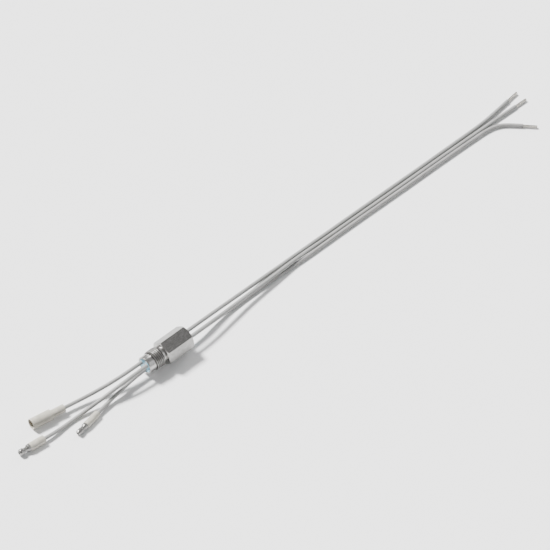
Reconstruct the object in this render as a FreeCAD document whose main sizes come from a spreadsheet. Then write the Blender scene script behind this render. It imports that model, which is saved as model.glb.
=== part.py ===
"""Flame sensor lead fitting: a hexagon body with an external 9/16-18 thread and a
plain pilot, sealed with potting round three leads. Three short leads with bullet
connectors leave the pilot end and three long leads with stripped ends leave the
hexagon end.

Frame: the origin is on the thread axis in the plane of the seating shoulder, +X
runs from the pilot towards the long leads and +Z is up. The fitting and its leads
lie on the plane z = -9.026 mm. Millimetres throughout.
"""

import FreeCAD, Part
import math
import os
import sys

import Sketcher
from FreeCAD import Placement, Rotation, Vector

os.makedirs("parts", exist_ok=True)
doc = FreeCAD.newDocument("FlameSensorLeadFitting")

# ---------------------------------------------------------------- driving sizes
SIZES = [
    # body
    ("hex_across_flats", 15.875, "5/8 in hexagon"),
    ("hex_length", 22.5, "shoulder to rear face"),
    ("hex_turn", 20, "degrees from +Z towards -Y to the nearest flat's normal"),
    ("hex_end_circle", 7.7, "radius where the 30 degree end chamfers start"),
    ("thread_radius", 7.144, "9/16 in major diameter, halved"),
    ("thread_pitch", 1.411, "18 threads per inch"),
    ("thread_depth", 0.866, "crest to root"),
    ("thread_root_flat", 0.235, "width of the root"),
    ("thread_front", 10.1, "shoulder to the start of the thread"),
    ("relief_radius", 6.1, "undercut behind the thread"),
    ("relief_length", 2.1, "floor of the undercut"),
    ("pilot_radius", 6.25, "plain nose"),
    ("pilot_length", 5.1, "nose beyond the thread"),
    ("pilot_chamfer", 0.35, "edge of the nose"),
    ("front_bore_radius", 5.1, "bore through nose and thread"),
    ("rear_bore_radius", 6.0, "bore in the hexagon"),
    ("bore_step", 4.0, "shoulder plane to the step between the bores"),
    ("bore_mouth", 0.5, "chamfer at both mouths"),
    ("key_radius", 6.5, "groove that keys the potting"),
    ("key_start", 11.0, "front side of the key groove"),
    ("key_stop", 12.5, "rear side of the key groove"),
    # filling
    ("potting_set_back", 0.4, "potting level below each end face"),
    ("spacer_length", 3.0, "disc that keeps the splices apart"),
    ("spacer_slack", 0.05, "disc radius under bore radius"),
    ("lead_circle", 3.15, "radius of the circle that the leads lie on"),
    ("lead_turn", 17, "degrees from +Y towards +Z to the first lead"),
    ("rear_circle", 3.03, "radius of the circle that the long leads lie on"),
    ("rear_turn", 30.2, "degrees from +Y towards +Z to the first long lead"),
    ("rear_shift_y", -0.47, "centre of that circle"),
    ("rear_shift_z", -0.3, "centre of that circle"),
    ("cross_start", 10.8, "where a conductor turns from its splice towards its long lead"),
    ("cross_stop", 14.3, "where it turns back along the axis"),
    ("cover_buried", 6.5, "insulation inside the potting, from the end face"),
    ("splice_radius", 1.45, "splice barrel"),
    ("splice_start", -2.0, "front end of the barrels"),
    ("splice_stop", 9.0, "rear end of the barrels"),
    ("splice_wall", 1.0, "solid middle that stops gas and liquid in the strands"),
    # leads
    ("lead_radius", 1.35, "over the insulation"),
    ("core_radius", 0.915, "stranded conductor"),
    ("bare_length", 9.525, "stripped end of a long lead, 3/8 in"),
    # what the three crimped terminals share
    ("funnel_radius", 2.2, "mouth of a sleeve's lead entry"),
    ("funnel_length", 2.5, "entry cone"),
    ("crimp_start", 5.0, "sleeve's rear end to the crimp barrel"),
    ("crimp_stop", 11.0, "sleeve's rear end to the bottom of the crimp bore"),
    ("crimp_radius", 1.7, "outside of the crimp barrel"),
    # socket: female bullet receptacle for 4.57 mm bullets, in a stepped sleeve
    ("socket_rear_radius", 2.85, "rear barrel of the sleeve"),
    ("socket_rear_length", 10.34, "rear barrel of the sleeve"),
    ("socket_front_radius", 3.9, "front barrel of the sleeve"),
    ("socket_length", 26.07, "whole sleeve"),
    ("socket_wall", 0.45, "wall of the front barrel"),
    ("socket_edge", 0.4, "rounding of the front barrel's rear edge"),
    ("socket_tube_radius", 2.8, "outside of the receptacle"),
    ("socket_bore_radius", 2.3, "inside of the receptacle"),
    ("socket_bore_start", 12.4, "bottom of the bore"),
    ("socket_bell_start", 22.6, "where the receptacle's lip flares"),
    ("socket_bell_stop", 23.4, "front of the lip"),
    ("socket_slit", 0.7, "rolled seam left open along the receptacle"),
    ("socket_x", -76.455, "sleeve's rear end"),
    ("socket_y", 12.916, "sleeve's rear end"),
    ("socket_heading", 170.224, "degrees from +X, the way it opens"),
    # large bullet, 0.180 in
    ("large_sleeve_radius", 2.9, "sleeve"),
    ("large_sleeve_length", 11.92, "sleeve"),
    ("large_reach", 8.68, "sleeve to tip"),
    ("large_head_radius", 2.285, "land that grips in a socket"),
    ("large_neck_radius", 1.68, "groove behind the head"),
    ("large_collar_radius", 2.62, "collar against the sleeve"),
    ("large_tip_radius", 1.6, "front edge of the nose"),
    ("large_hole_radius", 0.7, "hole in the tip"),
    ("large_x", -103.8, "sleeve's rear end"),
    ("large_y", 2.75, "sleeve's rear end"),
    ("large_heading", 173.924, "degrees from +X, the way it points"),
    # small bullet, 0.156 in
    ("small_sleeve_radius", 2.4, "sleeve"),
    ("small_sleeve_length", 13.0, "sleeve"),
    ("small_reach", 8.9, "sleeve to tip"),
    ("small_head_radius", 1.98, "land that grips in a socket"),
    ("small_neck_radius", 1.7, "groove behind the head"),
    ("small_collar_radius", 2.2, "collar against the sleeve"),
    ("small_tip_radius", 1.5, "front edge of the nose"),
    ("small_hole_radius", 0.6, "hole in the tip"),
    ("small_x", -62.41, "sleeve's rear end"),
    ("small_y", -4.87, "sleeve's rear end"),
    ("small_heading", -169.44, "degrees from +X, the way it points"),
    ("bullet_hole_depth", 4.5, "depth of the hole in a tip"),
]

sheet = doc.addObject("Spreadsheet::Sheet", "Sizes")
for row, (alias, number, note) in enumerate(SIZES, 1):
    sheet.set("A%d" % row, note)
    sheet.set("B%d" % row, str(number))
    sheet.setAlias("B%d" % row, alias)
doc.recompute()


class Dim:
    """A size together with the spreadsheet formula that it comes from."""

    def __init__(self, value, text):
        self.value, self.text = float(value), text

    def _join(self, other, sign, value, flip=False):
        mine, theirs = self.text, other.text if isinstance(other, Dim) else repr(other)
        if flip:
            mine, theirs = theirs, mine
        return Dim(value, "(%s %s %s)" % (mine, sign, theirs))

    def __add__(self, o):
        return self._join(o, "+", self.value + float(o))

    def __radd__(self, o):
        return self._join(o, "+", self.value + float(o), True)

    def __sub__(self, o):
        return self._join(o, "-", self.value - float(o))

    def __rsub__(self, o):
        return self._join(o, "-", float(o) - self.value, True)

    def __mul__(self, o):
        return self._join(o, "*", self.value * float(o))

    def __rmul__(self, o):
        return self._join(o, "*", self.value * float(o), True)

    def __truediv__(self, o):
        return self._join(o, "/", self.value / float(o))

    def __neg__(self):
        return Dim(-self.value, "(0 - %s)" % self.text)

    def __float__(self):
        return self.value


S = {a: Dim(float(n), "Sizes." + a) for a, n, _ in SIZES}


def cos_of(angle):
    return Dim(math.cos(math.radians(float(angle))), "cos(%s * 1deg)" % angle.text)


def sin_of(angle):
    return Dim(math.sin(math.radians(float(angle))), "sin(%s * 1deg)" % angle.text)


def bind(thing, prop, size):
    """Gives a property its size and ties it to the sheet."""
    if isinstance(size, Dim):
        thing.setExpression(prop, size.text)


def place(thing, x, y, z, rotation):
    thing.Placement = Placement(Vector(float(x), float(y), float(z)), rotation)
    bind(thing, "Placement.Base.x", x)
    bind(thing, "Placement.Base.y", y)
    bind(thing, "Placement.Base.z", z)


ALONG_X = Rotation(Vector(0, 1, 0), 90)  # turns a cylinder's +Z axis to +X


# ---------------------------------------------------------------- small helpers
def body(name):
    thing = doc.addObject("PartDesign::Body", name)
    thing.Label = name
    doc.recompute()
    return thing


def origin_plane(owner, role):
    return [f for f in owner.Origin.OriginFeatures if f.Role == role][0]


def outline(owner, name, points, role="XY_Plane"):
    """A closed outline of straight lines whose corners are all bound to the sheet."""
    sketch = owner.newObject("Sketcher::SketchObject", name)
    sketch.AttachmentSupport = [(origin_plane(owner, role), "")]
    sketch.MapMode = "FlatFace"
    doc.recompute()
    at = [Vector(float(a), float(b), 0) for a, b in points]
    count = len(points)
    for i in range(count):
        sketch.addGeometry(Part.LineSegment(at[i], at[(i + 1) % count]), False)
    for i in range(count):
        sketch.addConstraint(Sketcher.Constraint("Coincident", i, 2, (i + 1) % count, 1))
    for i, corner in enumerate(points):
        for kind, size, line in (("DistanceX", corner[0], -2), ("DistanceY", corner[1], -1)):
            if abs(float(size)) < 1e-9:
                sketch.addConstraint(Sketcher.Constraint("PointOnObject", i, 1, line))
                continue
            made = sketch.addConstraint(
                Sketcher.Constraint(kind, -1, 1, i, 1, float(size))
            )
            if isinstance(size, Dim):
                label = "%s_%d" % ("along" if kind == "DistanceX" else "out", i)
                sketch.renameConstraint(made, label)
                sketch.setExpression("Constraints." + label, size.text)
    doc.recompute()
    return sketch


def revolve(owner, kind, name, points):
    """Turns an outline, given as (along X, radius) corners, about the body's X axis."""
    sketch = outline(owner, name + "Outline", points)
    made = owner.newObject(kind, name)
    made.Profile = sketch
    made.ReferenceAxis = (sketch, ["H_Axis"])
    made.Angle = 360
    doc.recompute()
    return made


def cylinder(name, start, stop, radius, y, z):
    """A cylinder along +X from start to stop on the line (y, z)."""
    made = doc.addObject("Part::Cylinder", name)
    made.Radius = float(radius)
    made.Height = float(stop) - float(start)
    bind(made, "Radius", radius)
    bind(made, "Height", stop - start)
    place(made, start, y, z, ALONG_X)
    return made


def cut(name, base, tools):
    tool = tools[0]
    if len(tools) > 1:
        tool = doc.addObject("Part::MultiFuse", name + "_tools")
        tool.Shapes = tools
    made = doc.addObject("Part::Cut", name)
    made.Base, made.Tool = base, tool
    made.Label = name
    return made


nodes = {}

# ---------------------------------------------------------------- hexagon body
front = -(S["thread_front"] + S["pilot_length"])  # pilot's end face
rear = S["hex_length"]  # hexagon's rear face
corner = S["hex_across_flats"] / 2 / math.cos(math.radians(30))

hexagon = body("hex_body")
corners = []
for k in range(6):
    angle = S["hex_turn"] + (30 + 60 * k)
    corners.append((-(corner * sin_of(angle)), corner * cos_of(angle)))
hex_sketch = outline(hexagon, "HexOutline", corners, "YZ_Plane")
hex_pad = hexagon.newObject("PartDesign::Pad", "HexPad")
hex_pad.Profile = hex_sketch
hex_pad.Length = float(S["hex_length"])
bind(hex_pad, "Length", S["hex_length"])
doc.recompute()
solid_hex = hex_pad.Shape.Volume

# 30 degree chamfers that leave a round bearing face at each end
run = 3.0
lean = math.tan(math.radians(30))
for name, face, way in (("FrontChamfer", 0 * rear, -1), ("RearChamfer", rear, 1)):
    revolve(
        hexagon,
        "PartDesign::Groove",
        name,
        [
            (face + way * 0.3, S["hex_end_circle"] - 0.3 / lean),
            (face + way * 0.3, S["hex_end_circle"] + run),
            (face - way * (run * lean), S["hex_end_circle"] + run),
        ],
    )
chamfered = hexagon.Tip.Shape.Volume
if not solid_hex * 0.9 < chamfered < solid_hex - 5:
    sys.exit("the end chamfers took %.1f mm3" % (solid_hex - chamfered))

# undercut, thread blank with a 45 degree start, and the plain pilot
blank = S["thread_radius"] - S["pilot_radius"]
entry = S["thread_radius"] - S["relief_radius"]
revolve(
    hexagon,
    "PartDesign::Revolution",
    "Nose",
    [
        (front, 0),
        (front, S["pilot_radius"] - S["pilot_chamfer"]),
        (front + S["pilot_chamfer"], S["pilot_radius"]),
        (-S["thread_front"], S["pilot_radius"]),
        (blank - S["thread_front"], S["thread_radius"]),
        (-(S["relief_length"] + entry), S["thread_radius"]),
        (-S["relief_length"], S["relief_radius"]),
        (1.0, S["relief_radius"]),
        (1.0, 0),
    ],
)

# stepped bore with a groove that keys the potting
mouth = S["bore_mouth"]
with_nose = hexagon.Tip.Shape.Volume
revolve(
    hexagon,
    "PartDesign::Groove",
    "Bore",
    [
        (front - mouth, 0),
        (front - mouth, S["front_bore_radius"] + 2 * mouth),
        (front + mouth, S["front_bore_radius"]),
        (S["bore_step"], S["front_bore_radius"]),
        (S["bore_step"], S["rear_bore_radius"]),
        (S["key_start"], S["rear_bore_radius"]),
        (S["key_start"], S["key_radius"]),
        (S["key_stop"], S["key_radius"]),
        (S["key_stop"], S["rear_bore_radius"]),
        (rear - mouth, S["rear_bore_radius"]),
        (rear + mouth, S["rear_bore_radius"] + 2 * mouth),
        (rear + mouth, 0),
    ],
)
if not hexagon.Tip.Shape.Volume < with_nose - 3000:
    sys.exit("the bore took %.1f mm3" % (with_nose - hexagon.Tip.Shape.Volume))

# right-hand 60 degree thread, from before the nose's chamfer into the undercut
over = 0.1
flank = (S["thread_depth"] + over) * lean
half_root = S["thread_root_flat"] / 2
start = -(S["thread_front"] + S["thread_pitch"])
root = S["thread_radius"] - S["thread_depth"]
groove_sketch = outline(
    hexagon,
    "ThreadOutline",
    [
        (start - half_root, root),
        (start - half_root - flank, S["thread_radius"] + over),
        (start + half_root + flank, S["thread_radius"] + over),
        (start + half_root, root),
    ],
)
blank_volume = hexagon.Tip.Shape.Volume
thread = hexagon.newObject("PartDesign::SubtractiveHelix", "Thread")
thread.Profile = groove_sketch
thread.ReferenceAxis = (groove_sketch, ["H_Axis"])
thread.Mode = 0
thread.Pitch = float(S["thread_pitch"])
thread.Height = float(S["thread_front"] + S["thread_pitch"] - S["relief_length"])
bind(thread, "Pitch", S["thread_pitch"])
bind(thread, "Height", S["thread_front"] + S["thread_pitch"] - S["relief_length"])
thread.LeftHanded = False
doc.recompute()
taken = blank_volume - hexagon.Tip.Shape.Volume
if not 90 < taken < 180:
    sys.exit("the thread groove took %.1f mm3" % taken)
nodes["hex_body"] = hexagon

# ---------------------------------------------------------------- where leads pass
places = []
for k in range(3):
    angle = S["lead_turn"] + 120 * k
    places.append((S["lead_circle"] * cos_of(angle), S["lead_circle"] * sin_of(angle)))

rear_places = []
for k in range(3):
    angle = S["rear_turn"] + 120 * k
    rear_places.append(
        (
            S["rear_shift_y"] + S["rear_circle"] * cos_of(angle),
            S["rear_shift_z"] + S["rear_circle"] * sin_of(angle),
        )
    )

cover_front = front + S["cover_buried"]  # short leads' insulation starts here
cover_rear = rear - S["cover_buried"]  # long leads' insulation starts here
middle = (S["splice_start"] + S["splice_stop"]) / 2
stop_front = middle - S["splice_wall"] / 2  # ends of the conductors in a splice
stop_rear = middle + S["splice_wall"] / 2

# ---------------------------------------------------------------- potting
front_level = front + S["potting_set_back"]
plug = cylinder("front_fill", front_level, S["bore_step"], S["front_bore_radius"], 0, 0)
tools = []
for k, (y, z) in enumerate(places, 1):
    tools += [
        cylinder("front_lead_hole_%d" % k, front - 1.0, cover_front, S["lead_radius"], y, z),
        cylinder("front_core_hole_%d" % k, cover_front - 0.5, S["splice_start"] + 0.5, S["core_radius"], y, z),
        cylinder("front_splice_hole_%d" % k, S["splice_start"], S["bore_step"] + 1.0, S["splice_radius"], y, z),
    ]
nodes["front_potting"] = cut("front_potting", plug, tools)

rear_level = rear - S["potting_set_back"]
spacer_stop = S["bore_step"] + S["spacer_length"]
filling = body("rear_fill")
revolve(
    filling,
    "PartDesign::Revolution",
    "RearFill",
    [
        (spacer_stop, 0),
        (spacer_stop, S["rear_bore_radius"]),
        (S["key_start"], S["rear_bore_radius"]),
        (S["key_start"], S["key_radius"]),
        (S["key_stop"], S["key_radius"]),
        (S["key_stop"], S["rear_bore_radius"]),
        (rear_level, S["rear_bore_radius"]),
        (rear_level, 0),
    ],
)
# the holes for the splices and leads are cut once the leads exist

# ---------------------------------------------------------------- spacer disc
disc = cylinder("spacer_disc", S["bore_step"], spacer_stop, S["rear_bore_radius"] - S["spacer_slack"], 0, 0)
tools = [
    cylinder("spacer_hole_%d" % k, S["bore_step"] - 1.0, spacer_stop + 1.0, S["splice_radius"], y, z)
    for k, (y, z) in enumerate(places, 1)
]
nodes["lead_spacer"] = cut("lead_spacer", disc, tools)

# ---------------------------------------------------------------- splice barrels
for k, (y, z) in enumerate(places, 1):
    barrel = cylinder("barrel_%d" % k, S["splice_start"], S["splice_stop"], S["splice_radius"], y, z)
    tools = [
        cylinder("barrel_front_hole_%d" % k, S["splice_start"] - 1.0, stop_front, S["core_radius"], y, z),
        cylinder("barrel_rear_hole_%d" % k, stop_rear, S["splice_stop"] + 1.0, S["core_radius"], y, z),
    ]
    nodes["splice_%d" % k] = cut("splice_%d" % k, barrel, tools)

# ---------------------------------------------------------------- terminals
floor = -(corner * cos_of(30 - S["hex_turn"]))  # the plane that the part lies on


def seat(thing, prefix, radius):
    """Puts a terminal's piece with its rear end at the sheet's place, level, resting on the floor."""
    heading = S[prefix + "_heading"]
    thing.Placement = Placement(
        Vector(float(S[prefix + "_x"]), float(S[prefix + "_y"]), float(floor + radius)),
        Rotation(Vector(0, 0, 1), float(heading)),
    )
    bind(thing, "Placement.Base.x", S[prefix + "_x"])
    bind(thing, "Placement.Base.y", S[prefix + "_y"])
    bind(thing, "Placement.Base.z", floor + radius)
    bind(thing, "Placement.Rotation.Angle", heading)


def bullet(prefix):
    """A turned male bullet with a crimp barrel behind its collar."""
    reach = S[prefix + "_sleeve_length"]  # the collar meets the sleeve's front here
    tip = reach + S[prefix + "_reach"]
    collar, neck = S[prefix + "_collar_radius"], S[prefix + "_neck_radius"]
    head, nose = S[prefix + "_head_radius"], S[prefix + "_tip_radius"]
    hole = S[prefix + "_hole_radius"]
    thing = body(prefix + "_bullet")
    revolve(
        thing,
        "PartDesign::Revolution",
        prefix + "Turned",
        [
            (S["crimp_start"], S["core_radius"]),
            (S["crimp_start"], S["crimp_radius"]),
            (reach, S["crimp_radius"]),
            (reach, collar),
            (reach + 1.7, collar),
            (reach + 2.8, neck),
            (reach + 4.6, neck),
            (reach + 4.6 + (head - neck) * 1.7, head),
            (tip - 1.0, head),
            (tip - 0.25, nose + 0.2),
            (tip, nose),
            (tip, hole),
            (tip - S["bullet_hole_depth"], hole),
            (tip - S["bullet_hole_depth"], 0),
            (S["crimp_stop"], 0),
            (S["crimp_stop"], S["core_radius"]),
        ],
    )
    seat(thing, prefix, S[prefix + "_sleeve_radius"])
    nodes[prefix + "_bullet"] = thing

    outside = S[prefix + "_sleeve_radius"]
    sleeve = body(prefix + "_bullet_sleeve")
    revolve(
        sleeve,
        "PartDesign::Revolution",
        prefix + "Sleeve",
        [
            (0, S["funnel_radius"]),
            (0, outside - 0.15),
            (0.15, outside),
            (reach - 0.2, outside),
            (reach, outside - 0.2),
            (reach, S["crimp_radius"]),
            (S["crimp_start"], S["crimp_radius"]),
            (S["crimp_start"], S["lead_radius"]),
            (S["funnel_length"], S["lead_radius"]),
        ],
    )
    seat(sleeve, prefix, outside)
    nodes[prefix + "_bullet_sleeve"] = sleeve


bullet("large")
bullet("small")

# female receptacle: crimp barrel, web and a rolled tube with a flared lip
receptacle = body("socket_terminal")
shell = S["socket_front_radius"] - S["socket_wall"]
revolve(
    receptacle,
    "PartDesign::Revolution",
    "SocketTurned",
    [
        (S["crimp_start"], S["core_radius"]),
        (S["crimp_start"], S["crimp_radius"]),
        (S["crimp_stop"] + 0.3, S["crimp_radius"]),
        (S["crimp_stop"] + 1.2, S["socket_tube_radius"]),
        (S["socket_bell_start"], S["socket_tube_radius"]),
        (S["socket_bell_stop"], shell),
        (S["socket_bell_stop"] + 0.3, shell),
        (S["socket_bell_stop"] + 0.3, shell - 0.25),
        (S["socket_bell_start"], S["socket_bore_radius"]),
        (S["socket_bore_start"], S["socket_bore_radius"]),
        (S["socket_bore_start"], 0),
        (S["crimp_stop"], 0),
        (S["crimp_stop"], S["core_radius"]),
    ],
)
slit = receptacle.newObject("PartDesign::SubtractiveBox", "Seam")
slit.AttachmentSupport = [(origin_plane(receptacle, "XY_Plane"), "")]
slit.MapMode = "FlatFace"
slit.Length, slit.Width, slit.Height = 12.0, float(S["socket_slit"]), 6.0
bind(slit, "Width", S["socket_slit"])
slit.AttachmentOffset = Placement(
    Vector(float(S["socket_bore_start"]) + 0.6, -float(S["socket_slit"]) / 2, 0), Rotation()
)
bind(slit, "AttachmentOffset.Base.x", S["socket_bore_start"] + 0.6)
bind(slit, "AttachmentOffset.Base.y", -(S["socket_slit"] / 2))
doc.recompute()
seat(receptacle, "socket", S["socket_front_radius"])
nodes["socket_terminal"] = receptacle

socket_sleeve = body("socket_sleeve")
inner_start = S["socket_rear_length"] + 0.75
edge = S["socket_edge"]
revolve(
    socket_sleeve,
    "PartDesign::Revolution",
    "SocketSleeve",
    [
        (0, S["funnel_radius"]),
        (0, S["socket_rear_radius"] - 0.15),
        (0.15, S["socket_rear_radius"]),
        (S["socket_rear_length"], S["socket_rear_radius"]),
        (S["socket_rear_length"], S["socket_front_radius"] - edge),
        (S["socket_rear_length"] + edge * 0.3, S["socket_front_radius"] - edge * 0.3),
        (S["socket_rear_length"] + edge, S["socket_front_radius"]),
        (S["socket_length"], S["socket_front_radius"]),
        (S["socket_length"], shell),
        (inner_start, shell),
        (inner_start, S["crimp_radius"]),
        (S["crimp_start"], S["crimp_radius"]),
        (S["crimp_start"], S["lead_radius"]),
        (S["funnel_length"], S["lead_radius"]),
    ],
)
seat(socket_sleeve, "socket", S["socket_front_radius"])
nodes["socket_sleeve"] = socket_sleeve

# ---------------------------------------------------------------- leads
# Each route is a row of points joined by straight runs, with an arc at every point.
REST = -7.676  # height of a lead's centre line where the lead lies on the floor


def line_point(prefix, radius, ahead):
    """A point on a terminal's axis, ahead of the sleeve's rear end, or behind it."""
    turn = math.radians(float(S[prefix + "_heading"]))
    return (
        float(S[prefix + "_x"]) + ahead * math.cos(turn),
        float(S[prefix + "_y"]) + ahead * math.sin(turn),
        float(floor) + float(radius),
    )


def inlet(k, x):
    row = rear_places if x > 0 else places
    return (x, float(row[k][0]), float(row[k][1]))


buried = float(S["crimp_start"])
xf, xr = float(cover_front), float(cover_rear)
ROUTES = {
    "short_lead_1": [
        inlet(0, xf),
        inlet(0, -23.0),
        (-38.5, 5.1, -1.4),
        (-54.0, 8.6, -4.2),
        line_point("socket", S["socket_front_radius"], -8.0),
        line_point("socket", S["socket_front_radius"], buried),
    ],
    "short_lead_2": [
        inlet(1, xf),
        inlet(1, -24.0),
        (-42.0, -0.85, -0.9),
        (-58.0, 1.2, -5.0),
        (-73.0, 2.7, REST),
        (-85.0, 2.6, REST),
        line_point("large", S["large_sleeve_radius"], -6.5),
        line_point("large", S["large_sleeve_radius"], buried),
    ],
    "short_lead_3": [
        inlet(2, xf),
        inlet(2, -21.0),
        (-35.0, -1.6, -4.3),
        line_point("small", S["small_sleeve_radius"], -10.4),
        line_point("small", S["small_sleeve_radius"], buried),
    ],
    "long_lead_a": [
        inlet(0, xr),
        inlet(0, 33.0),
        (57.0, 4.35, -2.35),
        (84.0, 6.4, -5.95),
        (112.0, 7.34, REST),
        (150.0, 7.02, REST),
        (198.0, 6.78, REST),
        (246.0, 6.3, REST),
        (280.0, 6.3, REST),
        (300.0, 6.2, REST),
        (316.0, 7.8, REST),
        (327.6, 9.3, REST),
    ],
    "long_lead_b": [
        inlet(1, xr),
        inlet(1, 33.0),
        (56.0, -1.43, -1.13),
        (80.0, 0.56, -3.35),
        (103.0, 1.57, -4.45),
        (128.0, 3.19, -5.7),
        (152.0, 3.8, REST),
        (180.0, 3.7, REST),
        (218.0, 3.3, REST),
        (258.0, 3.22, REST),
        (292.0, 2.8, REST),
        (312.0, 2.45, REST),
        (328.0, 2.1, REST),
    ],
    "long_lead_c": [
        inlet(2, xr),
        inlet(2, 31.0),
        (48.0, 1.03, -5.59),
        (70.0, 2.0, REST),
        (98.0, 1.95, REST),
        (130.0, 0.75, REST),
        (170.0, 0.98, REST),
        (218.0, 0.52, REST),
        (258.0, 0.44, REST),
        (282.0, 0.15, REST),
        (300.0, -0.2, REST),
        (308.6, -2.9, REST),
        (314.7, -8.4, REST),
        (319.7, -14.0, REST),
    ],
}

route_sheet = doc.addObject("Spreadsheet::Sheet", "Routes")
row = 0
for name, points in ROUTES.items():
    for k, point in enumerate(points, 1):
        for axis, number in zip("xyz", point):
            row += 1
            alias = "%s_point_%d_%s" % (name, k, axis)
            route_sheet.set("A%d" % row, alias.replace("_", " "))
            route_sheet.set("B%d" % row, repr(round(number, 4)))
            route_sheet.setAlias("B%d" % row, alias)
doc.recompute()


def sheet_route(name):
    """The points of a route as the sheet holds them."""
    return [
        tuple(float(getattr(route_sheet, "%s_point_%d_%s" % (name, k, axis))) for axis in "xyz")
        for k in range(1, len(ROUTES[name]) + 1)
    ]


def path(points, before, after):
    """Straight runs joined by tangent arcs, lengthened straight at both ends. Returns the wire and its arc radii."""
    p = [Vector(*q) for q in points]
    head = p[0] + (p[0] - p[1]).normalize() * before
    tail = p[-1] + (p[-1] - p[-2]).normalize() * after
    edges, radii, at = [], [], head
    for a, b, c in zip(p, p[1:], p[2:]):
        u, v = (a - b), (c - b)
        short = min(u.Length, v.Length)
        u.normalize()
        v.normalize()
        turn = math.pi - u.getAngle(v)
        reach = 0.45 * short
        radius = reach / math.tan(turn / 2)
        radii.append((math.degrees(turn), radius))
        enter, leave = b + u * reach, b + v * reach
        half = (u + v).normalize()
        centre = b + half * math.hypot(reach, radius)
        mid = centre - half * radius
        edges.append(Part.LineSegment(at, enter).toShape())
        edges.append(Part.Arc(enter, mid, leave).toShape())
        at = leave
    edges.append(Part.LineSegment(at, tail).toShape())
    return Part.Wire(edges), radii


def swept(name, wire_shape, radius):
    """A solid rod or tube blank: a bound circle swept along a route."""
    wire = doc.addObject("Part::Feature", name + "_route")
    wire.Shape = wire_shape
    ring = doc.addObject("Part::Circle", name + "_section")
    ring.Radius = float(radius)
    bind(ring, "Radius", radius)
    first = wire_shape.OrderedEdges[0]
    begin = first.valueAt(first.FirstParameter)
    way = first.tangentAt(first.FirstParameter)
    ring.Placement = Placement(begin, Rotation(Vector(0, 0, 1), way))
    rod = doc.addObject("Part::Sweep", name)
    rod.Sections = [ring]
    rod.Spine = (wire, ["Edge%d" % (i + 1) for i in range(len(wire_shape.Edges))])
    rod.Solid = True
    rod.Frenet = False
    doc.recompute()
    want = math.pi * float(radius) ** 2 * wire_shape.Length
    got = rod.Shape.Volume
    print("%-30s length %.2f mm, volume %.2f of %.2f mm3" % (name, wire_shape.Length, got, want))
    if abs(got - want) > 0.002 * want:
        sys.exit(name + ": the sweep's volume is wrong")
    return rod


rear_tools = []
for name in ROUTES:
    points = sheet_route(name)
    short = name.startswith("short")
    cover_wire, radii = path(points, 0, 0)
    if short:
        core_wire, _ = path(points, float(stop_front) - xf, float(S["crimp_stop"] - S["crimp_start"]))
    else:
        # from the splice across to the long lead's own place in the rear bore
        k = "abc".index(name[-1])
        y, z = (float(v) for v in places[k])
        inner = [
            (float(stop_rear), y, z),
            (float(S["cross_start"]), y, z),
            (float(S["cross_stop"]),) + points[0][1:],
        ]
        core_wire, core_radii = path(inner + points[1:], 0, float(S["bare_length"]))
        print(name, "inner turns:", ", ".join("%.1f deg %.1f mm" % r for r in core_radii[:2]))
    print(name, "points:", points)
    print(name, "turns and radii:", ", ".join("%.1f deg %.0f mm" % r for r in radii))
    if min(r for _, r in radii) < 5 * 2 * float(S["lead_radius"]):
        sys.exit(name + ": a bend is tighter than five diameters")
    core = swept(name + "_conductor", core_wire, S["core_radius"])
    core.Label = name + "_conductor"
    nodes[name + "_conductor"] = core
    jacket = swept(name + "_jacket", cover_wire, S["lead_radius"])
    if not short:
        rear_tools += [core, jacket]
    cover = cut(name + "_insulation", jacket, [core])
    nodes[name + "_insulation"] = cover

# the rear potting fills what the splices and the long leads leave
for k, (y, z) in enumerate(places, 1):
    rear_tools.append(
        cylinder("rear_splice_hole_%d" % k, spacer_stop - 1.0, S["splice_stop"], S["splice_radius"], y, z)
    )
nodes["rear_potting"] = cut("rear_potting", filling, rear_tools)
doc.recompute()

# ---------------------------------------------------------------- checks, then export
faults = []
for thing in doc.Objects:
    if any(word in ("Invalid", "Error") for word in thing.State):
        faults.append("%s is %s" % (thing.Name, thing.State))
for name, thing in nodes.items():
    shape = thing.Shape
    if shape.isNull() or not shape.isValid():
        faults.append(name + " has no valid shape")
    elif len(shape.Solids) != 1:
        faults.append("%s has %d solids" % (name, len(shape.Solids)))
if faults:
    sys.exit("; ".join(faults))

for name in sorted(nodes):
    shape = nodes[name].Shape
    box = shape.BoundBox
    print(
        "%-30s %9.2f mm3  x %.2f..%.2f  y %.2f..%.2f  z %.3f..%.3f"
        % (name, shape.Volume, box.XMin, box.XMax, box.YMin, box.YMax, box.ZMin, box.ZMax)
    )
    shape.exportStep("parts/%s.step" % name)
print(len(nodes), "pieces")
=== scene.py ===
"""The looks of the flame sensor lead fitting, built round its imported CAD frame. Metres, +X along the fitting's axis."""

import math
import random

import bmesh
import bpy
import numpy as np
from mathutils import Matrix, Vector, noise


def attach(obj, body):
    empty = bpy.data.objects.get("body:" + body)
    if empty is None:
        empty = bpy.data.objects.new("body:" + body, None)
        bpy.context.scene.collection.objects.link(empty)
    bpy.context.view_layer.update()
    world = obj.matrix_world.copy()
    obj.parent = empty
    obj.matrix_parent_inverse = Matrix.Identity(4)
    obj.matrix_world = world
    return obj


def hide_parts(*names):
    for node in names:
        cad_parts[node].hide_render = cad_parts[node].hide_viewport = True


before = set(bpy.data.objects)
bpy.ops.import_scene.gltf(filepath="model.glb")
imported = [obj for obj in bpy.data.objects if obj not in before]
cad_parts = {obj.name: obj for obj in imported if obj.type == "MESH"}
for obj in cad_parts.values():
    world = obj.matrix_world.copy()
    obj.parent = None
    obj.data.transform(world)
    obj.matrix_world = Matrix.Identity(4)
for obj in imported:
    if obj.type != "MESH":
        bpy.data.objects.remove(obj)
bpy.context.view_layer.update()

MM = 0.001
FLOOR = -0.009026  # the plane that the part lies on
scene = bpy.context.scene
random.seed(7)

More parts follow.
